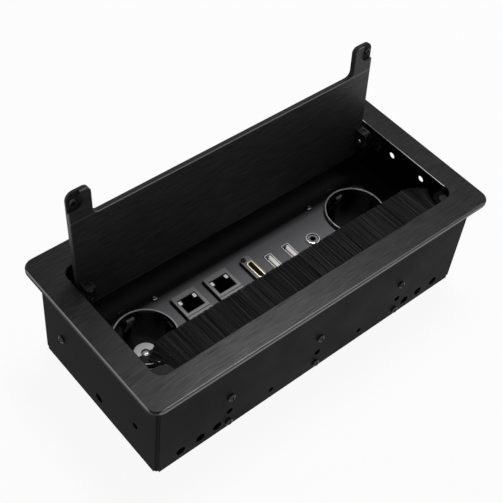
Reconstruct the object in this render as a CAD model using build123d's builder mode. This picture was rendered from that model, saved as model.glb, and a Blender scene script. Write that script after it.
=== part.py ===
"""Recessed desk socket block: a steel trough under a bezel frame, with a hinged lid.

Millimetres. X runs along the long side, +X to the right as seen from the brush.
+Y runs from the brush to the hinge and +Z is up. The origin is the centre of the
trough's underside. The lid is drawn standing open, leaning back on its stop.
"""
import os
from math import atan2, cos, degrees, hypot, radians, sin

from build123d import *

os.makedirs("parts", exist_ok=True)

# Bezel frame and its opening
frame_length = 265.0
frame_width = 128.5
frame_thick = 2.8
frame_corner = 8.0
frame_edge = 0.8
opening_length = 231.8
opening_width = 92.4
opening_corner = 6.5
opening_edge = 0.4
seat_rebate = 0.4
seat_gap = 0.15

# Sheet-steel trough
total_height = 78.6
box_length = 249.4
box_width = 113.6
box_corner = 1.6
sheet = 1.2
end_setback = 0.7
side_setback = 1.3
seam_width = 0.4
seam_depth = 0.6
notch_size = 2.4
sheet_gap = 0.2
column_x = 70.5
column_spare_depth = 62.5
column_spare_radius = 2.3
vent_depth = 70.8
vent_inner_x = 79.4
vent_middle_x = 92.2
vent_outer_x = 106.7
vent_radius = 3.2
single_hole_x = 37.3
single_hole_depth = 70.0
single_hole_radius = 1.9
light_hole_front = -14.5
light_hole_rear = 12.5
light_hole_depth = 18.3
light_hole_radius = 2.4
end_vent_y = -0.4
end_vent_depth = 67.5
end_spare_y = -36.6
end_spare_depth = 51.6

# Bottom cover
cover_tab_width = 16.0
cover_tab_height = 8.6
cover_screw_depth = 74.0
window_length = 116.0
window_width = 44.0
window_x = -4.0
window_y = 5.0

# Small fixings
screw_shank = 1.45
screw_hole = 1.5
wall_hole = 1.6
screw_head = 2.6
screw_head_height = 1.7
stud_radius = 1.5
stud_hole = 1.7
nut_flats = 5.0
nut_height = 2.6
nut_bore_gap = 0.05
stud_spare = 1.4
rail_stud_inner_x = 30.0
rail_stud_outer_x = 90.0
rail_stud_y = 52.8
end_stud_x = 119.9

# Socket panel
panel_depth = 44.5
panel_sheet = 1.5
panel_flange = 8.0
panel_screw_depth = 47.6
panel_screw_length = 4.5
end_tab_y = 37.0
end_tab_width = 14.0
end_screw_depth = 49.2

# Power sockets
socket_x = 86.7
socket_y = 4.5
rim_depth = 41.6
rim_radius = 20.8
rim_round = 0.55
recess_radius = 19.5
recess_depth = 17.9
middle_radius = 7.6
middle_rise = 0.6
socket_floor = 2.5
shoulder_radius = 23.6
shoulder_thick = 2.0
body_radius = 21.5
pin_spread = 9.5
pin_hole = 2.8
rib_width = 5.2
rib_reach = 1.9
rib_drop = 2.6
clip_width = 5.4
clip_thick = 0.7
clip_gap = 0.5
clip_top = 0.6
clip_bend = 2.0
clip_foot = 16.5
clip_nose = 15.0
clip_lip = 1.5
clip_back = 20.3
clip_round = 0.8
clip_slot_drop = 7.0
clip_floor_gap = 0.15
lug_angle = 17.0
lug_width = 4.6
lug_height = 3.4
lug_reach = 0.5
centre_head = 2.3
centre_sink = 1.5
centre_screw_end = 3.0
contact_radius = 3.4
contact_wall = 0.8
back_radius = 21.0
back_wall = 1.5
back_height = 13.5
back_boss = 4.0
back_hole_end = 1.0

# Retaining rings under the panel
ring_thick = 2.0
ring_radius = 26.0
ring_gap = 0.4
ear_x = 22.2
ear_y = 21.0
ear_radius = 4.5
tab_length = 4.0
tab_y = 25.0
tab_thick = 0.8
tab_rise = 0.5
face_head = 2.0
face_head_height = 1.5
face_socket = 2.2
face_screw_length = 5.0

# Network modules
left_module_x = -49.4
right_module_x = -24.2
module_y = 5.05
module_length = 26.1
module_width = 18.2
module_rise = 2.75
module_gap = 0.6
module_lip = 1.5
module_round = 0.8
module_edge = 0.3
port_width = 13.7
port_length = 11.4
port_y = 8.5
shoulder_x = 2.75
shoulder_y = 3.5
shoulder_drop = 1.0
groove_y = 0.5
groove_width = 0.6
groove_depth = 0.6
jack_width = 17.0
jack_length = 23.0
jack_bottom_depth = 74.0
jack_cavity_depth = 16.0
jack_back_depth = 7.0
jack_wall = 0.6
collar_drop = 0.3
wire_count = 8
wire_pitch = 1.02
wire_thick = 0.4
wire_start_drop = 1.2
wire_run = 3.6
wire_drop = 9.0
clamp_thick = 3.0
clamp_gap = 0.2
clamp_margin = 1.2
clamp_reach = 21.5
clamp_stud_reach = 18.0

# Video port
video_x = -0.5
video_y = 4.7
video_plate_width = 8.4
video_plate_length = 26.0
video_rise = 2.6
video_round = 3.0
video_edge = 0.4
video_shell_width = 4.8
video_shell_length = 14.8
video_shell_wall = 0.6
video_shell_bevel = 1.3
video_shell_round = 0.4
video_shell_proud = 0.6
video_screw_shift = -1.7
video_screw_reach = 10.4
video_screw_head = 1.7
video_head_height = 1.4
video_screw_bite = 6.0
video_block_height = 13.0
video_block_floor = 2.0
video_tongue_thick = 1.2
video_tongue_length = 11.4
video_tongue_drop = 2.0

# Data ports
left_data_x = 14.6
right_data_x = 29.3
data_y = 4.65
data_width = 5.7
data_length = 13.1
data_wall = 0.35
data_gap = 0.35
data_proud = 0.4
data_depth = 12.0
data_tongue_thick = 2.8
data_tongue_width = 11.0
data_tongue_shift = 1.0
data_tongue_drop = 0.6
data_block_length = 34.0
data_block_width = 26.0
data_block_wall = 3.0
data_stud_reach = 13.8

# Audio jack
audio_x = 47.7
audio_y = 3.5
audio_nut_radius = 4.8
audio_nut_height = 1.5
audio_nut_round = 0.7
audio_bush_radius = 3.6
audio_bush_drop = 0.5
audio_bush_edge = 0.3
audio_hole = 1.8
audio_hole_depth = 14.0
audio_body_width = 11.0
audio_body_height = 13.0

# Brush
brush_half = 103.5
channel_wall = 0.8
channel_height = 5.2
channel_mouth = 46.5
channel_depth = 3.5
strand_tip = 22.3
strand_root = 2.0
strand_size = 0.6
strand_rows = 3
strands_a_row = 132
strand_scatter = 0.5
strand_turn = 0.5

# Lid, as it lies when closed, about its pivot
pivot_y = 28.9
pivot_depth = 7.8
open_angle = 94.0
lid_thick = 3.8
lid_gap = 2.9
lid_play = 0.7
lid_under = 4.0
lid_tip = 74.5
lid_notch = 53.7
lid_tail = 16.1
horn_width = 15.2
notch_round = 4.0
tip_inner_round = 4.0
tip_round = 5.5
tail_round = 6.0
lid_edge = 0.4
pocket_side = 3.7
pocket_inset = 6.3
pocket_radius = 5.8
pocket_mouth = 8.1
pocket_depth = 1.7
catch_radius = 2.2
catch_height = 1.2
catch_bite = 1.3
hole_spare = 0.2

# Hinge
knuckle_x = 109.5
knuckle_width = 6.0
knuckle_tip = 6.8
knuckle_tail = 5.2
knuckle_low = 3.9
knuckle_round = 1.2
knuckle_window = 3.0
knuckle_window_depth = 0.8
knuckle_screw_tip = 3.6
knuckle_screw_tail = 3.4
knuckle_head = 2.1
knuckle_head_gap = 0.1
knuckle_sink = 1.1
knuckle_shank = 1.2
knuckle_bite = 2.0
pin_radius = 1.5
pin_running_gap = 0.05
pin_edge = 0.3
pin_inner_x = 105.9
pin_outer_x = 120.6
spacer_radius = 3.4
spacer_gap = 0.15
bracket_inner_x = 115.6
bracket_width = 20.0
bracket_stud_inset = 3.5
bracket_low_depth = 14.0
stop_width = 3.0
stop_thick = 5.0
stop_start = 4.0
stop_inner_x = 108.0
stop_low = 15.2
stop_high = 10.0
stop_gap = 0.25

# Corner supports
support_x = 111.2
support_y = 43.5
support_radius = 7.0
support_clear = 0.2
support_edge = 0.8
support_low_depth = 12.0
magnet_radius = 3.0
magnet_height = 3.0
corner_stud_y = 51.9

# Power inlet in the rear wall
inlet_x = 36.0
inlet_depth = 65.0
inlet_width = 27.2
inlet_height = 19.8
inlet_rim = 2.4
inlet_rim_thick = 2.4
inlet_length = 24.0
inlet_mouth_width = 24.0
inlet_mouth_height = 16.6
inlet_mouth_depth = 17.0
inlet_bevel = 4.0
inlet_pin_spread = 7.0
inlet_pin_rise = 2.0
inlet_pin_length = 14.0
inlet_pin_width = 2.0
inlet_pin_height = 4.0

SIDES = (("left", -1), ("right", 1))


def level(depth):
    """Height of something that lies this far below the frame's top."""
    return total_height - depth


frame_under = level(frame_thick)
box_height = frame_under + seat_rebate
lip_under = box_height - sheet
inner_length = box_length - 2 * sheet
inner_width = box_width - 2 * sheet
lip_length = opening_length + 2 * end_setback
lip_width = opening_width + 2 * side_setback
panel_top = level(panel_depth)
panel_under = panel_top - panel_sheet
panel_length = inner_length - 2 * sheet_gap
panel_width = inner_width - 2 * sheet_gap
pivot_z = level(pivot_depth)
columns = (-column_x, 0.0, column_x)
vent_columns = (vent_inner_x, vent_middle_x, vent_outer_x)
module_columns = (left_module_x, right_module_x)
data_columns = (left_data_x, right_data_x)


def save(builder, name):
    """Label a finished piece and write it to its own file."""
    builder.part.label = name
    export_step(builder.part, f"parts/{name}.step")


def wall_planes(x, z):
    """Planes on the outer faces of the front and rear walls."""
    front = Plane(origin=(x, -box_width / 2, z), x_dir=(1, 0, 0), z_dir=(0, -1, 0))
    rear = Plane(origin=(x, box_width / 2, z), x_dir=(-1, 0, 0), z_dir=(0, 1, 0))
    return [front, rear]


def end_planes(y, z):
    """Planes on the outer faces of the two end walls."""
    left = Plane(origin=(-box_length / 2, y, z), x_dir=(0, -1, 0), z_dir=(-1, 0, 0))
    right = Plane(origin=(box_length / 2, y, z), x_dir=(0, 1, 0), z_dir=(1, 0, 0))
    return [left, right]


def along_y(x, z):
    """Place a cylinder so that it runs through the front and rear walls."""
    return Location((x, 0, z), (90, 0, 0))


def along_x(y, z):
    """Place a cylinder so that it runs through both end walls."""
    return Location((0, y, z), (0, 90, 0))


def pan_screw(head_radius, head_height, shank_radius, length, hexagon=0):
    """A screw along Z, its domed head on z = 0, with a cross slot or a hexagon socket."""
    slot_width = 0.32 * head_radius
    slot_length = 1.2 * head_radius
    with BuildPart() as screw:
        with BuildSketch(Plane.XZ):
            with BuildLine():
                Polyline(
                    (0, head_height), (0, -length), (shank_radius, -length),
                    (shank_radius, 0), (head_radius, 0), (head_radius, 0.4 * head_height),
                )
                ThreePointArc(
                    (head_radius, 0.4 * head_height), (0.7 * head_radius, 0.87 * head_height),
                    (0, head_height),
                )
            make_face()
        revolve(axis=Axis.Z)
        with BuildSketch(Plane.XY.offset(head_height)):
            if hexagon:
                RegularPolygon(hexagon / 2, 6, major_radius=False)
            else:
                Rectangle(slot_length, slot_width)
                Rectangle(slot_width, slot_length)
        extrude(amount=0.5 * head_height, both=True, mode=Mode.SUBTRACT)
    return screw.part


# Bezel frame: chamfered plate, with a shallow rebate underneath that takes the trough
with BuildPart() as bezel_frame:
    with BuildSketch(Plane.XY.offset(frame_under)):
        RectangleRounded(frame_length, frame_width, frame_corner)
        RectangleRounded(opening_length, opening_width, opening_corner, mode=Mode.SUBTRACT)
    extrude(amount=frame_thick)
    with BuildSketch(Plane.XY.offset(frame_under)):
        RectangleRounded(
            box_length + 2 * seat_gap, box_width + 2 * seat_gap, box_corner + seat_gap
        )
    extrude(amount=seat_rebate, mode=Mode.SUBTRACT)
    chamfer(bezel_frame.faces().sort_by(Axis.Z)[-1].outer_wire().edges(), length=frame_edge)
    chamfer(bezel_frame.faces().sort_by(Axis.Z)[-1].inner_wires()[0].edges(), length=opening_edge)
save(bezel_frame, "bezel_frame")


# Places of the weld studs: how far each reaches down, and the piece that it clamps
bracket_low = level(bracket_low_depth)
support_low = level(support_low_depth)
channel_top = lip_under
rail_stud_x = (rail_stud_inner_x, rail_stud_outer_x)
front_studs = [(s * x, -rail_stud_y) for s in (-1, 1) for x in rail_stud_x]
rear_studs = [(s * x, rail_stud_y) for s in (-1, 1) for x in rail_stud_x]
bracket_stud_reach = bracket_width / 2 - bracket_stud_inset
bracket_studs = [
    (s * end_stud_x, pivot_y + t * bracket_stud_reach) for s in (-1, 1) for t in (-1, 1)
]
corner_studs = [(s * end_stud_x, -corner_stud_y) for s in (-1, 1)]
stud_groups = (
    (front_studs, channel_top - channel_wall),
    (rear_studs, lip_under),
    (bracket_studs, bracket_low),
    (corner_studs, support_low),
)

# Trough: folded sheet walls with inward lips, corner seams and side holes
with BuildPart() as housing_box:
    with BuildSketch():
        RectangleRounded(box_length, box_width, box_corner)
    extrude(amount=box_height)
    with BuildSketch():
        RectangleRounded(inner_length, inner_width, box_corner - sheet)
    extrude(amount=lip_under, mode=Mode.SUBTRACT)
    with BuildSketch(Plane.XY.offset(lip_under)):
        RectangleRounded(lip_length, lip_width, opening_corner)
        for places, _ in stud_groups:
            with Locations(*places):
                Circle(stud_hole)
    extrude(amount=sheet, mode=Mode.SUBTRACT)
    for x in columns:
        with Locations(along_y(x, level(panel_screw_depth)), along_y(x, level(cover_screw_depth))):
            Cylinder(wall_hole, 2 * box_width, mode=Mode.SUBTRACT)
        with Locations(along_y(x, level(column_spare_depth))):
            Cylinder(column_spare_radius, 2 * box_width, mode=Mode.SUBTRACT)
    for sign in (-1, 1):
        for x in vent_columns:
            with Locations(along_y(sign * x, level(vent_depth))):
                Cylinder(vent_radius, 2 * box_width, mode=Mode.SUBTRACT)
        with Locations(along_y(sign * single_hole_x, level(single_hole_depth))):
            Cylinder(single_hole_radius, 2 * box_width, mode=Mode.SUBTRACT)
    for y in (light_hole_front, light_hole_rear):
        with Locations(along_x(y, level(light_hole_depth))):
            Cylinder(light_hole_radius, 2 * box_length, mode=Mode.SUBTRACT)
    with Locations(along_x(end_tab_y, level(end_screw_depth))):
        Cylinder(wall_hole, 2 * box_length, mode=Mode.SUBTRACT)
    with Locations(along_x(end_vent_y, level(end_vent_depth))):
        Cylinder(vent_radius, 2 * box_length, mode=Mode.SUBTRACT)
    with Locations(along_x(end_spare_y, level(end_spare_depth))):
        Cylinder(column_spare_radius, 2 * box_length, mode=Mode.SUBTRACT)
    with Locations((inlet_x, box_width / 2, level(inlet_depth))):
        Box(inlet_width + 2 * sheet_gap, 4 * sheet, inlet_height + 2 * sheet_gap, mode=Mode.SUBTRACT)
    seam_x = box_length / 2 - box_corner - seam_width
    with Locations(*[(s * seam_x, t * box_width / 2, box_height / 2) for s in (-1, 1) for t in (-1, 1)]):
        Box(seam_width, 2 * seam_depth, box_height, mode=Mode.SUBTRACT)
    with Locations(*[(s * box_length / 2, t * box_width / 2, 0) for s in (-1, 1) for t in (-1, 1)]):
        Box(2 * notch_size, 2 * notch_size, 2 * notch_size, mode=Mode.SUBTRACT)
save(housing_box, "housing_box")

# Bottom cover: a plate between the walls, with upright tabs and a cable window
cover_y = inner_width / 2 - sheet_gap - sheet / 2
with BuildPart() as bottom_cover:
    with BuildSketch():
        RectangleRounded(inner_length - 2 * sheet_gap, inner_width - 2 * sheet_gap, box_corner)
        with Locations((window_x, window_y)):
            RectangleRounded(window_length, window_width, box_corner, mode=Mode.SUBTRACT)
    extrude(amount=sheet)
    with BuildSketch():
        with Locations(*[(x, t * cover_y) for x in columns for t in (-1, 1)]):
            Rectangle(cover_tab_width, sheet)
    extrude(amount=cover_tab_height)
    for x in columns:
        with Locations(along_y(x, level(cover_screw_depth))):
            Cylinder(screw_hole, 2 * box_width, mode=Mode.SUBTRACT)
save(bottom_cover, "bottom_cover")

side_screw = pan_screw(screw_head, screw_head_height, screw_shank, panel_screw_length)

with BuildPart() as cover_side_screws:
    for x in columns:
        with Locations(*wall_planes(x, level(cover_screw_depth))):
            add(side_screw)
save(cover_side_screws, "cover_side_screws")

# Weld studs under the frame and their nuts
with BuildPart() as frame_studs:
    for places, seat in stud_groups:
        with BuildSketch(Plane.XY.offset(box_height)):
            with Locations(*places):
                Circle(stud_radius)
        extrude(amount=seat - nut_height - stud_spare - box_height)
save(frame_studs, "frame_studs")

with BuildPart() as frame_nuts:
    for places, seat in stud_groups:
        with BuildSketch(Plane.XY.offset(seat)):
            with Locations(*places):
                RegularPolygon(nut_flats / 2, 6, major_radius=False)
                Circle(stud_radius + nut_bore_gap, mode=Mode.SUBTRACT)
        extrude(amount=-nut_height)
save(frame_nuts, "frame_nuts")

# Socket panel: plate with the cutouts of every port, flanges down at the long sides
data_middle = (data_columns[0] + data_columns[1]) / 2
module_studs = [(x, module_y + t * clamp_stud_reach) for x in module_columns for t in (-1, 1)]
data_studs = [(data_middle, data_y + t * data_stud_reach) for t in (-1, 1)]
ear_places = [
    (s * (socket_x - t * ear_x), socket_y + t * ear_y) for s in (-1, 1) for t in (-1, 1)
]
video_screw_places = [
    (video_x + video_screw_shift, video_y + t * video_screw_reach) for t in (-1, 1)
]
socket_centres = [(s * socket_x, socket_y) for s in (-1, 1)]

with BuildPart() as socket_panel:
    with BuildSketch(Plane.XY.offset(panel_top)):
        Rectangle(panel_length, panel_width)
        with Locations(*socket_centres):
            Circle(rim_radius + sheet_gap, mode=Mode.SUBTRACT)
            with Locations((0, tab_y)):
                Rectangle(
                    tab_length + 2 * sheet_gap, tab_thick + 2 * sheet_gap, mode=Mode.SUBTRACT
                )
        with Locations(*ear_places, *video_screw_places):
            Circle(screw_hole, mode=Mode.SUBTRACT)
        with Locations(*[(x, module_y) for x in module_columns]):
            Rectangle(
                module_width + 2 * module_gap, module_length + 2 * module_gap, mode=Mode.SUBTRACT
            )
        with Locations((video_x, video_y)):
            Rectangle(
                video_shell_width + 2 * sheet_gap, video_shell_length + 2 * sheet_gap,
                mode=Mode.SUBTRACT,
            )
        with Locations(*[(x, data_y) for x in data_columns]):
            Rectangle(data_width + 2 * data_gap, data_length + 2 * data_gap, mode=Mode.SUBTRACT)
        with Locations((audio_x, audio_y)):
            Circle(audio_bush_radius + sheet_gap, mode=Mode.SUBTRACT)
    extrude(amount=-panel_sheet)
    with BuildSketch(Plane.XY.offset(panel_top)):
        with Locations(*[(0, t * (panel_width - panel_sheet) / 2) for t in (-1, 1)]):
            Rectangle(panel_length, panel_sheet)
        with Locations(*[(s * (panel_length - panel_sheet) / 2, end_tab_y) for s in (-1, 1)]):
            Rectangle(panel_sheet, end_tab_width)
    extrude(amount=-panel_flange)
    for x in columns:
        with Locations(along_y(x, level(panel_screw_depth))):
            Cylinder(screw_hole, 2 * box_width, mode=Mode.SUBTRACT)
    with Locations(along_x(end_tab_y, level(end_screw_depth))):
        Cylinder(screw_hole, 2 * box_length, mode=Mode.SUBTRACT)
save(socket_panel, "socket_panel")

with BuildPart() as panel_side_screws:
    for x in columns:
        with Locations(*wall_planes(x, level(panel_screw_depth))):
            add(side_screw)
    with Locations(*end_planes(end_tab_y, level(end_screw_depth))):
        add(side_screw)
save(panel_side_screws, "panel_side_screws")

face_screw = pan_screw(face_head, face_head_height, screw_shank, face_screw_length, face_socket)
with BuildPart() as panel_face_screws:
    with Locations(*[(x, y, panel_top) for x, y in ear_places]):
        add(face_screw)
save(panel_face_screws, "panel_face_screws")

# Power sockets: everything that repeats on the left and on the right
ear_reach = hypot(ear_x, ear_y)
ear_angle = degrees(atan2(ear_y, ear_x))
rim_top = level(rim_depth)
recess_floor = rim_top - recess_depth
insert_under = recess_floor - socket_floor
middle_top = recess_floor + middle_rise
shoulder_under = panel_under - shoulder_thick
ring_under = shoulder_under - ring_thick
strip_top = insert_under - clip_floor_gap
back_floor = insert_under - back_height + back_wall
clip_slot = clip_width + 2 * clip_gap
slot_inner = recess_radius - clip_gap
slot_outer = body_radius + clip_gap
centre_screw = pan_screw(
    centre_head, centre_sink - sheet_gap, screw_shank,
    middle_top - centre_sink - back_floor - centre_screw_end,
)

for side, sign in SIDES:
    centre = (sign * socket_x, socket_y)
    upright = Plane(origin=(*centre, 0), x_dir=(1, 0, 0), z_dir=(0, -1, 0))
    axis = Axis((*centre, 0), (0, 0, 1))
    ears = [(sign * (socket_x - t * ear_x), socket_y + t * ear_y) for t in (-1, 1)]

    # Insert: a deep round cup with a shoulder under the panel and a raised middle
    with BuildPart() as insert:
        with BuildSketch(upright):
            with BuildLine():
                Polyline(
                    (0, insert_under), (body_radius, insert_under),
                    (body_radius, shoulder_under), (shoulder_radius, shoulder_under),
                    (shoulder_radius, panel_under), (rim_radius, panel_under),
                    (rim_radius, rim_top), (recess_radius, rim_top),
                    (recess_radius, recess_floor), (middle_radius, recess_floor),
                    (middle_radius, middle_top), (0, middle_top), close=True,
                )
            make_face()
        revolve(axis=axis)
        fillet(insert.faces().sort_by(Axis.Z)[-1].edges(), radius=rim_round)
        rib_height = rim_top - rib_drop - recess_floor
        for t in (-1, 1):
            rib_middle = recess_radius - rib_reach / 2 + rim_round / 2
            with Locations((centre[0] + t * rib_middle, centre[1], recess_floor + rib_height / 2)):
                Box(rib_reach + rim_round, rib_width, rib_height)
        lug_turn = radians(lug_angle)
        lug_middle = recess_radius - lug_reach / 2 + rim_round / 2
        lug_x = centre[0] + lug_middle * cos(lug_turn)
        lug_y = centre[1] + lug_middle * sin(lug_turn)
        lug_z = rim_top - rib_drop - lug_height / 2
        with Locations(Location((lug_x, lug_y, lug_z), (0, 0, lug_angle))):
            Box(lug_reach + rim_round, lug_width, lug_height)
        slot_height = rim_top - clip_slot_drop - insert_under
        for t in (-1, 1):
            slot_y = centre[1] + t * (slot_inner + slot_outer) / 2
            with Locations((centre[0], slot_y, insert_under + slot_height / 2)):
                Box(clip_slot, slot_outer - slot_inner, slot_height, mode=Mode.SUBTRACT)
        with BuildSketch(Plane.XY.offset(insert_under)):
            with Locations(*[(centre[0] + t * pin_spread, centre[1]) for t in (-1, 1)]):
                Circle(pin_hole)
            with Locations(centre):
                Circle(screw_hole)
        extrude(amount=middle_top - insert_under, mode=Mode.SUBTRACT)
        with BuildSketch(Plane.XY.offset(middle_top)):
            with Locations(centre):
                Circle(centre_head + sheet_gap)
        extrude(amount=-centre_sink, mode=Mode.SUBTRACT)
    save(insert, f"{side}_socket_insert")

    # Retaining ring: holds the shoulder up, with two eared screws and a locating tab
    with BuildPart() as ring:
        with BuildSketch(Plane.XY.offset(shoulder_under)):
            with Locations(centre):
                Circle(ring_radius)
                SlotCenterToCenter(2 * ear_reach, 2 * ear_radius, rotation=-sign * ear_angle)
                Circle(body_radius + ring_gap, mode=Mode.SUBTRACT)
        extrude(amount=-ring_thick)
        with BuildSketch(Plane.XY.offset(panel_under)):
            with Locations(*ears):
                Circle(ear_radius)
            with Locations((centre[0], centre[1] + tab_y)):
                Rectangle(tab_length, tab_thick)
        extrude(amount=-shoulder_thick)
        with BuildSketch(Plane.XY.offset(panel_top + tab_rise)):
            with Locations((centre[0], centre[1] + tab_y)):
                Rectangle(tab_length, tab_thick)
        extrude(amount=-(panel_sheet + tab_rise))
        with BuildSketch(Plane.XY.offset(panel_under)):
            with Locations(*ears):
                Circle(screw_hole)
        extrude(amount=-(shoulder_thick + ring_thick), mode=Mode.SUBTRACT)
    save(ring, f"{side}_retaining_ring")

    # Earth clip: one strip under the floor that comes up both walls and bends inwards
    strip_middle = strip_top - clip_thick / 2
    half = [
        (clip_nose + clip_lip, rim_top - clip_top),
        (clip_nose, rim_top - clip_bend),
        (clip_back, rim_top - clip_foot),
        (clip_back, strip_middle),
    ]
    route = half + [(-y, z) for y, z in reversed(half)]
    side_plane = Plane(origin=(*centre, 0), x_dir=(0, 1, 0), z_dir=(1, 0, 0))
    with BuildPart() as clip:
        with BuildLine(side_plane) as clip_route:
            FilletPolyline(*route, radius=clip_round)
        start = Plane(origin=clip_route.line @ 0, x_dir=(1, 0, 0), z_dir=clip_route.line % 0)
        with BuildSketch(start):
            Rectangle(clip_width, clip_thick)
        sweep()
        with Locations((*centre, strip_middle)):
            Cylinder(screw_hole + clip_gap / 2, 4 * clip_thick, mode=Mode.SUBTRACT)
    save(clip, f"{side}_earth_clips")

    # Pin contacts: two brass sleeves under the pin holes
    with BuildPart() as contacts:
        with BuildSketch(Plane.XY.offset(insert_under)):
            with Locations(*[(centre[0] + t * pin_spread, centre[1]) for t in (-1, 1)]):
                Circle(contact_radius)
                Circle(contact_radius - contact_wall, mode=Mode.SUBTRACT)
        extrude(amount=back_floor - insert_under)
    save(contacts, f"{side}_pin_contacts")

    # Back housing: a shallow cup that closes the socket from below
    with BuildPart() as back:
        with BuildSketch(Plane.XY.offset(insert_under)):
            with Locations(centre):
                Circle(back_radius)
        extrude(amount=-back_height)
        with BuildSketch(Plane.XY.offset(insert_under)):
            with Locations(centre):
                Circle(back_radius - back_wall)
                Circle(back_boss, mode=Mode.SUBTRACT)
        extrude(amount=back_floor - insert_under, mode=Mode.SUBTRACT)
        with Locations((*centre, insert_under)):
            Box(clip_slot, 2 * back_radius + clip_gap, 4 * clip_thick, mode=Mode.SUBTRACT)
        with BuildSketch(Plane.XY.offset(insert_under)):
            with Locations(centre):
                Circle(screw_hole)
        extrude(amount=back_floor - insert_under + back_hole_end, mode=Mode.SUBTRACT)
    save(back, f"{side}_back_housing")

    with BuildPart() as centre_fixing:
        with Locations((*centre, middle_top - centre_sink)):
            add(centre_screw)
    save(centre_fixing, f"{side}_centre_screw")

# Network modules: a raised grey frame with a black coupler below it
module_top = panel_top + module_rise
module_under = panel_under - module_lip
flange_under = module_under - module_lip
collar_top = module_top - collar_drop
jack_bottom = level(jack_bottom_depth)
for (side, _), x in zip(SIDES, module_columns):
    with BuildPart() as module:
        with BuildSketch(Plane.XY.offset(module_under)):
            with Locations((x, module_y)):
                Rectangle(module_width, module_length + 2 * module_lip)
        extrude(amount=module_lip)
        with BuildSketch(Plane.XY.offset(module_under)):
            with Locations((x, module_y)):
                Rectangle(module_width, module_length)
        extrude(amount=module_top - module_under)
        fillet(module.edges().filter_by(Axis.Z).group_by(Axis.Z)[-1], radius=module_round)
        chamfer(module.faces().sort_by(Axis.Z)[-1].edges(), length=module_edge)
        shoulders = [
            (x + t * (port_width - shoulder_x) / 2, port_y + (port_length - shoulder_y) / 2)
            for t in (-1, 1)
        ]
        with BuildSketch(Plane.XY.offset(module_top)):
            with Locations((x, port_y)):
                Rectangle(port_width, port_length)
            with Locations(*shoulders):
                Rectangle(shoulder_x, shoulder_y, mode=Mode.SUBTRACT)
        extrude(amount=module_under - module_top, mode=Mode.SUBTRACT)
        with BuildSketch(Plane.XY.offset(module_top)):
            with Locations(*shoulders):
                Rectangle(shoulder_x, shoulder_y)
        extrude(amount=-shoulder_drop, mode=Mode.SUBTRACT)
        with Locations((x, groove_y, module_top)):
            Box(module_width, groove_width, 2 * groove_depth, mode=Mode.SUBTRACT)
    save(module, f"{side}_network_frame")

    cavity_width = port_width - 2 * jack_wall
    latch_width = port_width - 2 * shoulder_x
    with BuildPart() as jack:
        with BuildSketch(Plane.XY.offset(module_under)):
            with Locations((x, module_y)):
                Rectangle(module_width, module_length)
        extrude(amount=-module_lip)
        with BuildSketch(Plane.XY.offset(module_under)):
            with Locations((x, module_y)):
                Rectangle(jack_width, jack_length)
        extrude(amount=jack_bottom - module_under)
        main_length = port_length - shoulder_y - jack_wall
        latch_y = port_y + port_length / 2 - shoulder_y / 2
        with BuildSketch(Plane.XY.offset(module_under)):
            with Locations((x, port_y - shoulder_y / 2)):
                Rectangle(port_width, port_length - shoulder_y)
            with Locations((x, latch_y)):
                Rectangle(latch_width, shoulder_y)
        extrude(amount=collar_top - module_under)
        cavity_depth = jack_cavity_depth + collar_top - module_under
        for mouth, depth in ((collar_top, -cavity_depth), (jack_bottom, jack_back_depth)):
            with BuildSketch(Plane.XY.offset(mouth)):
                with Locations((x, port_y - (shoulder_y - jack_wall) / 2)):
                    Rectangle(cavity_width, main_length)
                with Locations((x, latch_y - jack_wall)):
                    Rectangle(latch_width - jack_wall, shoulder_y)
            extrude(amount=depth, mode=Mode.SUBTRACT)
    save(jack, f"{side}_network_jack")

    wire_start = port_y - (shoulder_y - jack_wall) / 2 - main_length / 2
    wire_high = module_under - wire_start_drop
    wire_low = module_under - wire_drop
    with BuildPart() as wires:
        for index in range(wire_count):
            wire_x = x + (index - (wire_count - 1) / 2) * wire_pitch
            wire_plane = Plane(origin=(wire_x, 0, 0), x_dir=(0, 1, 0), z_dir=(1, 0, 0))
            with BuildSketch(wire_plane):
                with BuildLine():
                    Polyline(
                        (wire_start, wire_high),
                        (wire_start + wire_run, wire_low),
                        (wire_start + wire_run, wire_low - wire_thick),
                        (wire_start, wire_high - 2 * wire_thick),
                        close=True,
                    )
                make_face()
            extrude(amount=wire_thick / 2, both=True)
    save(wires, f"{side}_network_wires")

# Clamp plate under both network modules, with its studs and nuts
clamp_left = module_columns[0] - module_width / 2 - clamp_margin
clamp_right = module_columns[1] + module_width / 2 + clamp_margin
clamp_under = flange_under - clamp_thick
with BuildPart() as network_clamp:
    with BuildSketch(Plane.XY.offset(flange_under)):
        with Locations(((clamp_left + clamp_right) / 2, module_y)):
            Rectangle(clamp_right - clamp_left, 2 * clamp_reach)
        with Locations(*[(x, module_y) for x in module_columns]):
            Rectangle(
                jack_width + 2 * clamp_gap, jack_length + 2 * clamp_gap, mode=Mode.SUBTRACT
            )
        with Locations(*module_studs):
            Circle(stud_hole, mode=Mode.SUBTRACT)
    extrude(amount=-clamp_thick)
save(network_clamp, "network_clamp")

# Video port: raised plate, gold shell, tongue and a block below the panel
video_top = panel_top + video_rise
video_block_under = panel_under - video_block_height
shell_bottom = video_block_under + video_block_floor


def video_points(inset):
    """Corners of the port's outline, long along Y, bevelled on its -X side."""
    right = video_x + video_shell_width / 2 - inset
    left = video_x - video_shell_width / 2 + inset
    front = video_y - video_shell_length / 2 + inset
    back = video_y + video_shell_length / 2 - inset
    bevel = video_shell_bevel
    return [
        (right, front), (right, back), (left + bevel, back),
        (left, back - bevel), (left, front + bevel), (left + bevel, front),
    ]


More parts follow.
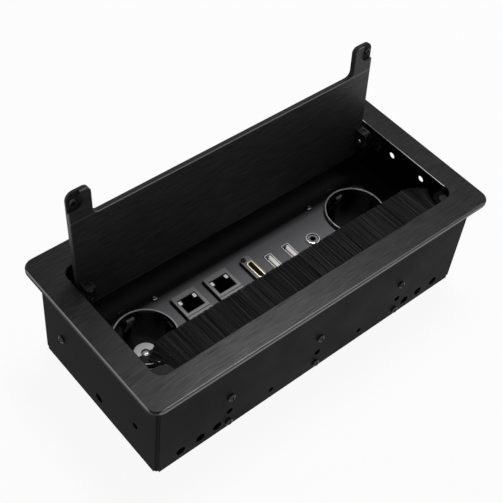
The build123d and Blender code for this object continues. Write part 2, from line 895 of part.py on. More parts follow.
with BuildPart() as video_plate:
    with BuildSketch(Plane.XY.offset(panel_top)):
        with Locations((video_x, video_y)):
            RectangleRounded(video_plate_width, video_plate_length, video_round)
            Rectangle(
                video_shell_width + 2 * clamp_gap, video_shell_length + 2 * clamp_gap,
                mode=Mode.SUBTRACT,
            )
        with Locations(*video_screw_places):
            Circle(screw_hole, mode=Mode.SUBTRACT)
    extrude(amount=video_rise)
    chamfer(video_plate.faces().sort_by(Axis.Z)[-1].outer_wire().edges(), length=video_edge)
save(video_plate, "video_port_plate")

with BuildPart() as video_shell:
    with BuildSketch(Plane.XY.offset(shell_bottom)) as shell_outline:
        Polygon(*video_points(0), align=None)
        fillet(shell_outline.vertices(), radius=video_shell_round)
        Polygon(*video_points(video_shell_wall), align=None, mode=Mode.SUBTRACT)
    extrude(amount=video_top + video_shell_proud - shell_bottom)
save(video_shell, "video_port_shell")

with BuildPart() as video_tongue:
    with BuildSketch(Plane.XY.offset(shell_bottom)):
        with Locations((video_x, video_y)):
            Rectangle(video_tongue_thick, video_tongue_length)
    extrude(amount=video_top - video_tongue_drop - shell_bottom)
save(video_tongue, "video_port_tongue")

with BuildPart() as video_block:
    with BuildSketch(Plane.XY.offset(panel_under)):
        with Locations((video_x, video_y)):
            RectangleRounded(video_plate_width, video_plate_length, video_round)
            Rectangle(
                video_shell_width + 2 * clamp_gap, video_shell_length + 2 * clamp_gap,
                mode=Mode.SUBTRACT,
            )
        with Locations(*video_screw_places):
            Circle(screw_hole, mode=Mode.SUBTRACT)
    extrude(amount=shell_bottom - panel_under)
    with BuildSketch(Plane.XY.offset(shell_bottom)):
        with Locations((video_x, video_y)):
            RectangleRounded(video_plate_width, video_plate_length, video_round)
    extrude(amount=video_block_under - shell_bottom)
save(video_block, "video_port_block")

video_screw = pan_screw(
    video_screw_head, video_head_height, screw_shank, video_top - panel_under + video_screw_bite
)
with BuildPart() as video_screws:
    with Locations(*[(x, y, video_top) for x, y in video_screw_places]):
        add(video_screw)
save(video_screws, "video_port_screws")

# Data ports: two silver shells with pale tongues, in one block under the panel
data_under = panel_under - data_depth
data_block_under = data_under - data_block_wall
with BuildPart() as data_block:
    with BuildSketch(Plane.XY.offset(panel_under)):
        with Locations((data_middle, data_y)):
            Rectangle(data_block_width, data_block_length)
        with Locations(*[(x, data_y) for x in data_columns]):
            Rectangle(
                data_width + 2 * clamp_gap, data_length + 2 * clamp_gap, mode=Mode.SUBTRACT
            )
    extrude(amount=data_under - panel_under)
    with BuildSketch(Plane.XY.offset(data_under)):
        with Locations((data_middle, data_y)):
            Rectangle(data_block_width, data_block_length)
    extrude(amount=-data_block_wall)
    with BuildSketch(Plane.XY.offset(panel_under)):
        with Locations(*data_studs):
            Circle(stud_hole)
    extrude(amount=data_block_under - panel_under, mode=Mode.SUBTRACT)
save(data_block, "data_port_block")

for (side, _), x in zip(SIDES, data_columns):
    with BuildPart() as data_shell:
        with BuildSketch(Plane.XY.offset(data_under)):
            with Locations((x, data_y)):
                RectangleRounded(data_width, data_length, 2 * data_wall)
                RectangleRounded(
                    data_width - 2 * data_wall, data_length - 2 * data_wall, data_wall,
                    mode=Mode.SUBTRACT,
                )
        extrude(amount=panel_top + data_proud - data_under)
    save(data_shell, f"{side}_data_shell")

    with BuildPart() as data_tongue:
        with BuildSketch(Plane.XY.offset(data_under)):
            with Locations((x + data_tongue_shift, data_y)):
                Rectangle(data_tongue_thick, data_tongue_width)
        extrude(amount=panel_top - data_tongue_drop - data_under)
    save(data_tongue, f"{side}_data_tongue")

# Studs under the panel for the clamp plate and the data block, and their nuts
port_studs = ((module_studs, clamp_under), (data_studs, data_block_under))
with BuildPart() as panel_studs:
    for places, seat in port_studs:
        with BuildSketch(Plane.XY.offset(panel_under)):
            with Locations(*places):
                Circle(stud_radius)
        extrude(amount=seat - nut_height - stud_spare - panel_under)
save(panel_studs, "panel_studs")

with BuildPart() as panel_nuts:
    for places, seat in port_studs:
        with BuildSketch(Plane.XY.offset(seat)):
            with Locations(*places):
                RegularPolygon(nut_flats / 2, 6, major_radius=False)
                Circle(stud_radius + nut_bore_gap, mode=Mode.SUBTRACT)
        extrude(amount=-nut_height)
save(panel_nuts, "panel_nuts")

# Audio jack: body under the panel, threaded bush through it, rounded ring nut on top
audio_bush_top = panel_top + audio_nut_height - audio_bush_drop
with BuildPart() as audio_body:
    with BuildSketch(Plane.XY.offset(panel_under)):
        with Locations((audio_x, audio_y)):
            Rectangle(audio_body_width, audio_body_width)
            Circle(audio_bush_radius, mode=Mode.SUBTRACT)
    extrude(amount=-audio_body_height)
save(audio_body, "audio_jack_body")

with BuildPart() as audio_bush:
    with BuildSketch(Plane.XY.offset(audio_bush_top)):
        with Locations((audio_x, audio_y)):
            Circle(audio_bush_radius)
    extrude(amount=panel_under - audio_body_height - audio_bush_top)
    chamfer(audio_bush.faces().sort_by(Axis.Z)[-1].edges(), length=audio_bush_edge)
    with Locations((audio_x, audio_y, audio_bush_top)):
        Cylinder(audio_hole, 2 * audio_hole_depth, mode=Mode.SUBTRACT)
save(audio_bush, "audio_jack_bush")

with BuildPart() as audio_nut:
    with BuildSketch(Plane.XY.offset(panel_top)):
        with Locations((audio_x, audio_y)):
            Circle(audio_nut_radius)
            Circle(audio_bush_radius, mode=Mode.SUBTRACT)
    extrude(amount=audio_nut_height)
    fillet(audio_nut.faces().sort_by(Axis.Z)[-1].outer_wire().edges(), radius=audio_nut_round)
save(audio_nut, "audio_jack_nut")

# Brush: a channel under the front lip that grips the backing of the bristles
channel_low = channel_top - channel_height
channel_back = channel_mouth + channel_depth
rail_back = inner_width / 2 - sheet_gap
with BuildPart() as brush_holder:
    with BuildSketch(Plane.YZ.offset(-brush_half)):
        with BuildLine():
            Polyline(
                (-rail_back, channel_top), (-channel_mouth, channel_top),
                (-channel_mouth, channel_top - channel_wall),
                (-channel_back + channel_wall, channel_top - channel_wall),
                (-channel_back + channel_wall, channel_low + channel_wall),
                (-channel_mouth, channel_low + channel_wall), (-channel_mouth, channel_low),
                (-channel_back, channel_low), (-channel_back, channel_top - channel_wall),
                (-rail_back, channel_top - channel_wall), close=True,
            )
        make_face()
    extrude(amount=2 * brush_half)
    with BuildSketch(Plane.XY.offset(channel_top)):
        with Locations(*front_studs):
            Circle(stud_hole)
    extrude(amount=-channel_wall, mode=Mode.SUBTRACT)
save(brush_holder, "brush_holder")

backing_height = channel_height - 2 * channel_wall
backing_depth = channel_depth - channel_wall
backing_middle = channel_top - channel_height / 2
strand_pitch = 2 * (brush_half - strand_size) / strands_a_row
strand_length = channel_mouth - strand_tip + strand_root
row_pitch = (backing_height - strand_size) / strand_rows
strands = []
for row in range(strand_rows):
    row_z = backing_middle + (row - (strand_rows - 1) / 2) * row_pitch
    for index in range(strands_a_row):
        strand_x = (index - (strands_a_row - 1) / 2 + (row - 1) / strand_rows) * strand_pitch
        inward = strand_scatter * sin(5.0 * index + 2.0 * row)
        turn = strand_turn * sin(2.3 * index + 1.1 * row)
        middle = strand_length / 2 - channel_mouth - strand_root - inward
        strands.append(Location((strand_x, middle, row_z), (0, 0, turn)))
with BuildPart() as brush_bristles:
    with Locations((0, -channel_mouth - backing_depth / 2, backing_middle)):
        Box(2 * brush_half, backing_depth, backing_height)
    with Locations(*strands):
        Box(strand_size, strand_length, strand_size)
save(brush_bristles, "brush_bristles")

# Lid: drawn on a plane through the pivot, with its tip towards local -Y
lid_half = opening_length / 2 - lid_gap
lean = radians(open_angle)
lid_plane = Plane(origin=(0, pivot_y, pivot_z), x_dir=(1, 0, 0), z_dir=(0, sin(lean), cos(lean)))
plate_plane = Plane(
    origin=(-lid_play, pivot_y, pivot_z), x_dir=(1, 0, 0), z_dir=lid_plane.z_dir
).offset(lid_under)
horn_inner = lid_half - horn_width
pocket_x = lid_half - pocket_side
pocket_reach = lid_tip - pocket_inset


def across_pivot(x):
    """Place a cylinder along X on the hinge axis."""
    return Location((x, pivot_y, pivot_z), (0, 90, 0))


knuckle_screw_places = [
    (s * knuckle_x, y) for s in (-1, 1) for y in (-knuckle_screw_tip, knuckle_screw_tail)
]
catch_places = [(s * pocket_x - lid_play, -pocket_reach) for s in (-1, 1)]
with BuildPart() as lid_plate:
    with BuildSketch(plate_plane):
        with BuildLine():
            half = [
                (0, lid_tail), (lid_half, lid_tail), (lid_half, -lid_tip),
                (horn_inner, -lid_tip), (horn_inner, -lid_notch), (0, -lid_notch),
            ]
            Polyline(*half, *[(-x, y) for x, y in reversed(half[1:-1])], close=True)
        make_face()
    extrude(amount=lid_thick)
    outward = Axis((0, 0, 0), lid_plane.z_dir)
    tailward = Axis((0, 0, 0), lid_plane.y_dir)
    fillet(lid_plate.edges().filter_by(outward).sort_by(tailward)[4:6], radius=notch_round)
    tips = lid_plate.edges().filter_by(outward).sort_by(tailward)[:4].sort_by(Axis.X)
    fillet(tips[1:3], radius=tip_inner_round)
    tips = lid_plate.edges().filter_by(outward).sort_by(tailward)[:4].sort_by(Axis.X)
    fillet([tips[0], tips[-1]], radius=tip_round)
    fillet(lid_plate.edges().filter_by(outward).sort_by(tailward)[-2:], radius=tail_round)
    chamfer(lid_plate.faces().sort_by(outward)[-1].edges(), length=lid_edge)
    chamfer(lid_plate.faces().sort_by(outward)[0].edges(), length=lid_edge)
    past_side = lid_half + pocket_side
    past_tip = lid_tip + pocket_side
    mouth_x = lid_half - pocket_mouth
    with BuildSketch(plate_plane):
        with Locations((pocket_x, -pocket_reach)):
            Circle(pocket_radius)
        Polygon(
            (pocket_x, pocket_radius - pocket_reach), (past_side, pocket_radius - pocket_reach),
            (past_side, -past_tip), (mouth_x, -past_tip), (mouth_x, -pocket_reach),
            (pocket_x, -pocket_reach), align=None,
        )
        mirror(about=Plane.YZ)
    extrude(amount=pocket_depth, mode=Mode.SUBTRACT)
    with BuildSketch(lid_plane.offset(lid_under)):
        with Locations(*catch_places):
            Circle(knuckle_shank)
    extrude(amount=pocket_depth + catch_bite + hole_spare, mode=Mode.SUBTRACT)
    with BuildSketch(lid_plane.offset(lid_under)):
        with Locations(*knuckle_screw_places):
            Circle(knuckle_shank)
    extrude(amount=knuckle_bite, mode=Mode.SUBTRACT)
save(lid_plate, "lid_plate")

# Knuckles on the lid's inner face, bored for the hinge pins
knuckle_plane = lid_plane.offset(-knuckle_low)
for side, sign in SIDES:
    with BuildPart() as knuckle:
        with BuildSketch(knuckle_plane):
            with Locations((sign * knuckle_x, (knuckle_tail - knuckle_tip) / 2)):
                Rectangle(knuckle_width, knuckle_tip + knuckle_tail)
        extrude(amount=knuckle_low + lid_under)
        low_edges = knuckle.edges().filter_by(Axis.X).sort_by(Axis((0, 0, 0), lid_plane.z_dir))
        fillet(low_edges[:2], radius=knuckle_round)
        with Locations(across_pivot(sign * knuckle_x)):
            Cylinder(pin_radius + pin_running_gap, 2 * knuckle_width, mode=Mode.SUBTRACT)
        tip_face = Plane(
            origin=lid_plane.from_local_coords((sign * knuckle_x, -knuckle_tip, 0)),
            x_dir=(1, 0, 0), z_dir=-lid_plane.y_dir,
        )
        with BuildSketch(tip_face):
            Rectangle(knuckle_window, knuckle_window)
        extrude(amount=-knuckle_window_depth, mode=Mode.SUBTRACT)
        own_screws = [(x, y) for x, y in knuckle_screw_places if x * sign > 0]
        with BuildSketch(knuckle_plane):
            with Locations(*own_screws):
                Circle(knuckle_shank)
        extrude(amount=knuckle_low + lid_under, mode=Mode.SUBTRACT)
        with BuildSketch(knuckle_plane):
            with Locations(*own_screws):
                Circle(knuckle_head + knuckle_head_gap)
        extrude(amount=knuckle_sink, mode=Mode.SUBTRACT)
    save(knuckle, f"{side}_hinge_knuckle")


def facing_down(x, y, height):
    """A plane on the lid's inner side that looks away from the lid."""
    origin = lid_plane.from_local_coords((x, y, height))
    return Plane(origin=origin, x_dir=(1, 0, 0), z_dir=-lid_plane.z_dir)


knuckle_screw = pan_screw(
    knuckle_head, knuckle_sink, knuckle_shank,
    knuckle_low + lid_under - knuckle_sink + knuckle_bite - hole_spare,
)
with BuildPart() as knuckle_screws:
    with Locations(*[facing_down(x, y, knuckle_sink - knuckle_low) for x, y in knuckle_screw_places]):
        add(knuckle_screw)
save(knuckle_screws, "knuckle_screws")

catch_screw = pan_screw(catch_radius, catch_height, knuckle_shank, catch_bite)
with BuildPart() as catch_screws:
    with Locations(*[facing_down(x, y, lid_under + pocket_depth) for x, y in catch_places]):
        add(catch_screw)
save(catch_screws, "lid_catch_screws")

# Hinge pins, spacers and brackets: these stay with the frame
pin_length = pin_outer_x - pin_inner_x
with BuildPart() as hinge_pins:
    with Locations(*[across_pivot(s * (pin_inner_x + pin_outer_x) / 2) for s in (-1, 1)]):
        Cylinder(pin_radius, pin_length)
    chamfer(hinge_pins.edges().filter_by(GeomType.CIRCLE), length=pin_edge)
save(hinge_pins, "hinge_pins")

spacer_inner_x = knuckle_x + knuckle_width / 2 + spacer_gap
spacer_length = bracket_inner_x - spacer_inner_x
with BuildPart() as hinge_spacers:
    with Locations(*[across_pivot(s * (spacer_inner_x + spacer_length / 2)) for s in (-1, 1)]):
        Cylinder(spacer_radius, spacer_length)
        Cylinder(pin_radius, 2 * spacer_length, mode=Mode.SUBTRACT)
save(hinge_spacers, "hinge_spacers")

bracket_outer_x = inner_length / 2 - sheet_gap
for side, sign in SIDES:
    bracket_middle = sign * (bracket_inner_x + bracket_outer_x) / 2
    bracket_thick = bracket_outer_x - bracket_inner_x
    stop_middle = sign * (bracket_inner_x + stop_width / 2)
    with BuildPart() as bracket:
        with BuildSketch(Plane.XY.offset(lip_under)):
            with Locations((bracket_middle, pivot_y)):
                Rectangle(bracket_thick, bracket_width)
        extrude(amount=bracket_low - lip_under)
        with BuildSketch(lid_plane.offset(lid_under - stop_gap)):
            with Locations((stop_middle, (stop_low + stop_start) / 2)):
                Rectangle(stop_width, stop_low - stop_start)
            tab_middle = sign * (stop_inner_x + bracket_inner_x) / 2
            with Locations((tab_middle, (stop_low + stop_high) / 2)):
                Rectangle(bracket_inner_x - stop_inner_x, stop_low - stop_high)
        extrude(amount=-stop_thick)
        with Locations(across_pivot(sign * bracket_inner_x)):
            Cylinder(pin_radius, 2 * (pin_outer_x - bracket_inner_x), mode=Mode.SUBTRACT)
        own_studs = [(x, y) for x, y in bracket_studs if x * sign > 0]
        with BuildSketch(Plane.XY.offset(lip_under)):
            with Locations(*own_studs):
                Circle(stud_hole)
        extrude(amount=bracket_low - lip_under, mode=Mode.SUBTRACT)
    save(bracket, f"{side}_hinge_bracket")

# Corner supports: round bosses that carry the closed lid's horns, each with a magnet
support_top = pivot_z + lid_under - support_clear
foot_y = inner_width / 2 - sheet_gap
for side, sign in SIDES:
    with BuildPart() as support:
        with BuildSketch(Plane.XY.offset(support_low)):
            with Locations((sign * support_x, -support_y)):
                Circle(support_radius)
            with Locations(
                (sign * (support_x + bracket_outer_x) / 2, -(support_y + foot_y) / 2)
            ):
                Rectangle(bracket_outer_x - support_x, foot_y - support_y)
            with Locations((sign * (support_x + bracket_outer_x) / 2, -support_y)):
                Rectangle(bracket_outer_x - support_x, 2 * support_radius)
            with Locations((sign * support_x, -(support_y + foot_y) / 2)):
                Rectangle(2 * support_radius, foot_y - support_y)
        extrude(amount=support_top - support_low)
        top_edges = support.faces().sort_by(Axis.Z)[-1].edges()
        fillet(top_edges.filter_by(GeomType.CIRCLE), radius=support_edge)
        pad_x = lip_length / 2 + sheet_gap
        pad_y = lip_width / 2 + sheet_gap
        with BuildSketch(Plane.XY.offset(support_top)):
            with Locations((sign * (pad_x + bracket_outer_x) / 2, -(pad_y + foot_y) / 2)):
                Rectangle(bracket_outer_x - pad_x, foot_y - pad_y)
        extrude(amount=lip_under - support_top)
        with BuildSketch(Plane.XY.offset(lip_under)):
            with Locations((sign * end_stud_x, -corner_stud_y)):
                Circle(stud_hole)
        extrude(amount=support_low - lip_under, mode=Mode.SUBTRACT)
        with BuildSketch(Plane.XY.offset(support_top)):
            with Locations((sign * support_x, -support_y)):
                Circle(magnet_radius)
        extrude(amount=-magnet_height, mode=Mode.SUBTRACT)
    save(support, f"{side}_corner_support")

with BuildPart() as corner_magnets:
    with BuildSketch(Plane.XY.offset(support_top)):
        with Locations(*[(s * support_x, -support_y) for s in (-1, 1)]):
            Circle(magnet_radius)
    extrude(amount=-magnet_height)
save(corner_magnets, "corner_magnets")

# Power inlet in the rear wall: rim outside, body inside, bevelled mouth, three pins
inlet_z = level(inlet_depth)
inlet_face = Plane(
    origin=(inlet_x, box_width / 2 + inlet_rim_thick, inlet_z), x_dir=(-1, 0, 0), z_dir=(0, 1, 0)
)
with BuildPart() as inlet:
    with BuildSketch(inlet_face):
        RectangleRounded(inlet_width + 2 * inlet_rim, inlet_height + 2 * inlet_rim, inlet_rim)
    extrude(amount=-inlet_rim_thick)
    with BuildSketch(inlet_face):
        Rectangle(inlet_width, inlet_height)
    extrude(amount=-inlet_length)
    half_mouth = inlet_mouth_width / 2
    mouth_low = -inlet_mouth_height / 2
    mouth_high = inlet_mouth_height / 2
    with BuildSketch(inlet_face):
        Polygon(
            (-half_mouth, mouth_low), (half_mouth, mouth_low),
            (half_mouth, mouth_high - inlet_bevel), (half_mouth - inlet_bevel, mouth_high),
            (inlet_bevel - half_mouth, mouth_high), (-half_mouth, mouth_high - inlet_bevel),
            align=None,
        )
    extrude(amount=-inlet_mouth_depth, mode=Mode.SUBTRACT)
save(inlet, "power_inlet")

inlet_floor = inlet_face.offset(-inlet_mouth_depth)
with BuildPart() as inlet_pins:
    with BuildSketch(inlet_floor):
        with Locations(
            (-inlet_pin_spread, -inlet_pin_rise), (inlet_pin_spread, -inlet_pin_rise),
            (0, inlet_pin_rise),
        ):
            Rectangle(inlet_pin_width, inlet_pin_height)
    extrude(amount=inlet_pin_length)
save(inlet_pins, "power_inlet_pins")
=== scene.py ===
from math import radians

import bpy
import numpy as np
from mathutils import Matrix, Vector


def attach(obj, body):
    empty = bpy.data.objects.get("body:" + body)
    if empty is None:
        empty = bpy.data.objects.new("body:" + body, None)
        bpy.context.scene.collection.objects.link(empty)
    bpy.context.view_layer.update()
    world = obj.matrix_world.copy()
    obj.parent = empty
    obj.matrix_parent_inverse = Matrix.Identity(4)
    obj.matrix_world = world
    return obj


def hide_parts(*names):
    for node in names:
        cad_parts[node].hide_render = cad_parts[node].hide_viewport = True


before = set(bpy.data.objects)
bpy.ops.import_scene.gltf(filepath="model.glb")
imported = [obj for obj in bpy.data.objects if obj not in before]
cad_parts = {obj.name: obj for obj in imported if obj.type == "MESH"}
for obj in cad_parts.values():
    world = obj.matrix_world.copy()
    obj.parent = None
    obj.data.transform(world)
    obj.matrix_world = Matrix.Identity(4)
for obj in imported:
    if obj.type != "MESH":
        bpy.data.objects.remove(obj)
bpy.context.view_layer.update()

# Camera
# A long lens looks down into the open trough from the front left corner, a little rolled.
# The angles and the place are those of the photograph, fitted to the frame, opening and lid.
camera_azimuth = radians(-45.417)
camera_elevation = radians(49.336)
camera_roll = radians(7.007)
camera_place = Vector((-0.31389, -0.29838, 0.56122))
camera_lens = 77.15

camera_data = bpy.data.cameras.new("camera")
camera_data.lens = camera_lens
camera_data.sensor_width = 36.0
camera_data.sensor_fit = "HORIZONTAL"
camera_data.clip_start = 0.01
camera = bpy.data.objects.new("camera", camera_data)
bpy.context.scene.collection.objects.link(camera)
camera.matrix_world = (
    Matrix.Translation(camera_place)
    @ Matrix.Rotation(camera_azimuth, 4, "Z")
    @ Matrix.Rotation(radians(90) - camera_elevation, 4, "X")
    @ Matrix.Rotation(camera_roll, 4, "Z")
)
bpy.context.scene.camera = camera


# Trough and bottom cover
# Folded sheet steel with a satin black powder coat: a fine orange-peel grain with slight
# clouding. The inside is darker and duller, its darkness painted shade, and the left outer
# wall is a little duller.
noise_low = 0.3
noise_high = 0.7


def grain_group():
    """Fine coating grain: noise at two scales, one for clouding and one for the orange peel."""
    group = bpy.data.node_groups.new("coating grain", "ShaderNodeTree")
    group.interface.new_socket("Peel Scale", in_out="INPUT", socket_type="NodeSocketFloat")
    group.interface.new_socket("Cloud Scale", in_out="INPUT", socket_type="NodeSocketFloat")
    group.interface.new_socket("Peel", in_out="OUTPUT", socket_type="NodeSocketFloat")
    group.interface.new_socket("Cloud", in_out="OUTPUT", socket_type="NodeSocketFloat")
    inside = group.nodes.new("NodeGroupInput")
    outside = group.nodes.new("NodeGroupOutput")
    place = group.nodes.new("ShaderNodeTexCoord")
    for name, detail in (("Peel", 2.0), ("Cloud", 4.0)):
        noise = group.nodes.new("ShaderNodeTexNoise")
        noise.inputs["Detail"].default_value = detail
        group.links.new(place.outputs["Object"], noise.inputs["Vector"])
        group.links.new(inside.outputs[name + " Scale"], noise.inputs["Scale"])
        group.links.new(noise.outputs["Fac"], outside.inputs[name])
    return group


coating_grain = grain_group()


def link_range(material, value, socket, low, high):
    """Map the middle of a noise onto a range and feed it to a socket."""
    spread = material.node_tree.nodes.new("ShaderNodeMapRange")
    spread.inputs["From Min"].default_value = noise_low
    spread.inputs["From Max"].default_value = noise_high
    spread.inputs["To Min"].default_value = low
    spread.inputs["To Max"].default_value = high
    material.node_tree.links.new(value, spread.inputs["Value"])
    material.node_tree.links.new(spread.outputs["Result"], socket)


def link_colours(material, value, socket, dark, light):
    """Blend two colours over the middle of a noise and feed the result to a socket."""
    ramp = material.node_tree.nodes.new("ShaderNodeValToRGB")
    ramp.color_ramp.elements[0].position = noise_low
    ramp.color_ramp.elements[0].color = (*dark, 1)
    ramp.color_ramp.elements[1].position = noise_high
    ramp.color_ramp.elements[1].color = (*light, 1)
    material.node_tree.links.new(value, ramp.inputs["Fac"])
    material.node_tree.links.new(ramp.outputs["Color"], socket)


def link_bump(material, value, shader, distance, strength):
    """Raise the surface by a mask."""
    bump = material.node_tree.nodes.new("ShaderNodeBump")
    bump.inputs["Strength"].default_value = strength
    bump.inputs["Distance"].default_value = distance
    material.node_tree.links.new(value, bump.inputs["Height"])
    material.node_tree.links.new(bump.outputs["Normal"], shader.inputs["Normal"])


def new_material(name):
    """An empty material with its Principled shader."""
    material = bpy.data.materials.new(name)
    material.use_nodes = True
    return material, material.node_tree.nodes["Principled BSDF"]


def coated(name, dark, light, rough, metallic=0.0, peel=2600.0, depth=0.00004, shine=0.5):
    """A coated or moulded surface: two close shades, a rough band and the coating grain."""
    material, shader = new_material(name)
    shader.inputs["Specular IOR Level"].default_value = shine
    grain = material.node_tree.nodes.new("ShaderNodeGroup")
    grain.node_tree = coating_grain
    grain.inputs["Peel Scale"].default_value = peel
    grain.inputs["Cloud Scale"].default_value = 45.0
    shader.inputs["Metallic"].default_value = metallic
    link_colours(material, grain.outputs["Cloud"], shader.inputs["Base Color"], dark, light)
    link_range(material, grain.outputs["Cloud"], shader.inputs["Roughness"], rough[0], rough[1])
    link_bump(material, grain.outputs["Peel"], shader, depth, 0.35)
    return material


def finish(material, *names):
    """Give CAD pieces their material."""
    for name in names:
        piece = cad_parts[name]
        piece.data.materials.clear()
        piece.data.materials.append(material)


def box_mask_group():
    """One inside a box: the distance from the box's centre along each axis, less the half
    size there, is below zero for all three; the edge is as soft as the last input."""
    group = bpy.data.node_groups.new("inside a box", "ShaderNodeTree")
    group.interface.new_socket("Vector", in_out="INPUT", socket_type="NodeSocketVector")
    group.interface.new_socket("Centre", in_out="INPUT", socket_type="NodeSocketVector")
    group.interface.new_socket("Half", in_out="INPUT", socket_type="NodeSocketVector")
    group.interface.new_socket("Soft", in_out="INPUT", socket_type="NodeSocketFloat")
    group.interface.new_socket("Mask", in_out="OUTPUT", socket_type="NodeSocketFloat")
    inside = group.nodes.new("NodeGroupInput")
    outside = group.nodes.new("NodeGroupOutput")
    steps = []
    for operation in ("SUBTRACT", "ABSOLUTE", "SUBTRACT"):
        step = group.nodes.new("ShaderNodeVectorMath")
        step.operation = operation
        if steps:
            group.links.new(steps[-1].outputs["Vector"], step.inputs[0])
        steps.append(step)
    group.links.new(inside.outputs["Vector"], steps[0].inputs[0])
    group.links.new(inside.outputs["Centre"], steps[0].inputs[1])
    group.links.new(inside.outputs["Half"], steps[2].inputs[1])
    parts = group.nodes.new("ShaderNodeSeparateXYZ")
    group.links.new(steps[2].outputs["Vector"], parts.inputs["Vector"])
    farther = group.nodes.new("ShaderNodeMath")
    farther.operation = "MAXIMUM"
    group.links.new(parts.outputs["X"], farther.inputs[0])
    group.links.new(parts.outputs["Y"], farther.inputs[1])
    farthest = group.nodes.new("ShaderNodeMath")
    farthest.operation = "MAXIMUM"
    group.links.new(farther.outputs["Value"], farthest.inputs[0])
    group.links.new(parts.outputs["Z"], farthest.inputs[1])
    fade = group.nodes.new("ShaderNodeMapRange")
    fade.inputs["From Min"].default_value = 0.0
    fade.inputs["To Min"].default_value = 1.0
    fade.inputs["To Max"].default_value = 0.0
    group.links.new(farthest.outputs["Value"], fade.inputs["Value"])
    group.links.new(inside.outputs["Soft"], fade.inputs["From Max"])
    group.links.new(fade.outputs["Result"], outside.inputs["Mask"])
    return group


box_mask = box_mask_group()


def inside_box(material, low, high, soft=0.0001, turned=None):
    """The mask of a box given by its lowest and highest corner, in metres. A Mapping's vector
    may stand in for the object's own axes."""
    nodes = material.node_tree.nodes
    mask = nodes.new("ShaderNodeGroup")
    mask.node_tree = box_mask
    low, high = np.array(low, float), np.array(high, float)
    mask.inputs["Centre"].default_value = tuple((low + high) / 2)
    mask.inputs["Half"].default_value = tuple((high - low) / 2)
    mask.inputs["Soft"].default_value = soft
    if turned is None:
        turned = nodes.new("ShaderNodeTexCoord").outputs["Object"]
    material.node_tree.links.new(turned, mask.inputs["Vector"])
    return mask.outputs["Mask"]


def inside_disc(material, centre, radius, soft=0.0001):
    """The mask of an upright cylinder: the distance from its axis is below its radius."""
    nodes = material.node_tree.nodes
    links = material.node_tree.links
    flat = nodes.new("ShaderNodeMapping")
    flat.inputs["Scale"].default_value = (1, 1, 0)
    links.new(nodes.new("ShaderNodeTexCoord").outputs["Object"], flat.inputs["Vector"])
    away = nodes.new("ShaderNodeVectorMath")
    away.operation = "DISTANCE"
    away.inputs[1].default_value = (*centre, 0)
    links.new(flat.outputs["Vector"], away.inputs[0])
    fade = nodes.new("ShaderNodeMapRange")
    fade.inputs["From Min"].default_value = radius
    fade.inputs["From Max"].default_value = radius + soft
    fade.inputs["To Min"].default_value = 1.0
    fade.inputs["To Max"].default_value = 0.0
    links.new(away.outputs["Value"], fade.inputs["Value"])
    return fade.outputs["Result"]


def both(material, first, second):
    """Where two masks meet."""
    meet = material.node_tree.nodes.new("ShaderNodeMath")
    meet.operation = "MULTIPLY"
    material.node_tree.links.new(first, meet.inputs[0])
    material.node_tree.links.new(second, meet.inputs[1])
    return meet.outputs["Value"]


def overlay(material, mask, colour, rough=None, metallic=None):
    """Lay another colour, gloss or metal over the finish where the mask is one. Most of these
    marks stand for light and shade in the photograph. A Mix node has its two colours in inputs
    6 and 7, and its two numbers in inputs 2 and 3."""
    tree = material.node_tree
    shader = tree.nodes["Principled BSDF"]
    for name, value in (("Base Color", (*colour, 1)), ("Roughness", rough), ("Metallic", metallic)):
        if value is None:
            continue
        is_colour = name == "Base Color"
        mix = tree.nodes.new("ShaderNodeMix")
        mix.data_type = "RGBA" if is_colour else "FLOAT"
        under = mix.inputs[6] if is_colour else mix.inputs[2]
        over = mix.inputs[7] if is_colour else mix.inputs[3]
        socket = shader.inputs[name]
        if socket.links:
            tree.links.new(socket.links[0].from_socket, under)
        else:
            under.default_value = socket.default_value
        over.default_value = value
        tree.links.new(mask, mix.inputs[0])
        tree.links.new(mix.outputs[2] if is_colour else mix.outputs[0], socket)


trough_coat = coated(
    "trough powder coat", (0.0045, 0.0045, 0.0048), (0.0062, 0.0062, 0.0065), (0.42, 0.52),
    shine=0.03,
)
# Painted shade: the inside of the trough is laid darker.
shaded_inner_walls = inside_box(trough_coat, (-0.1236, -0.0557, 0.003), (0.1236, 0.0557, 0.076))
overlay(trough_coat, shaded_inner_walls, (0.0018, 0.0018, 0.0019), 0.75)
left_wall = inside_box(trough_coat, (-0.126, -0.058, -0.001), (-0.1243, 0.058, 0.08))
overlay(trough_coat, left_wall, (0.005, 0.005, 0.0053), 0.58)
finish(trough_coat, "housing_box", "bottom_cover")

# Screws, studs and nuts
# Zinc-plated steel for the studs and nuts, blackened heads on the walls, the hinge, the lid
# and the video port, darker zinc on the panel's face.
screw_steel = coated(
    "plated steel", (0.42, 0.42, 0.43), (0.6, 0.6, 0.61), (0.22, 0.34),
    metallic=1.0, peel=3000.0, depth=0.00001,
)
finish(
    screw_steel, "frame_studs", "frame_nuts", "panel_studs", "panel_nuts", "hinge_pins",
    "power_inlet_pins",
)
black_screw = coated(
    "blackened steel", (0.02, 0.02, 0.021), (0.05, 0.05, 0.052), (0.25, 0.4),
    metallic=1.0, peel=3000.0, depth=0.00001,
)
finish(
    black_screw, "cover_side_screws", "panel_side_screws", "knuckle_screws", "lid_catch_screws",
    "video_port_screws",
)
dark_zinc = coated(
    "dark zinc", (0.12, 0.12, 0.122), (0.25, 0.25, 0.252), (0.18, 0.28),
    metallic=1.0, peel=3000.0, depth=0.00001,
)
finish(dark_zinc, "panel_face_screws")
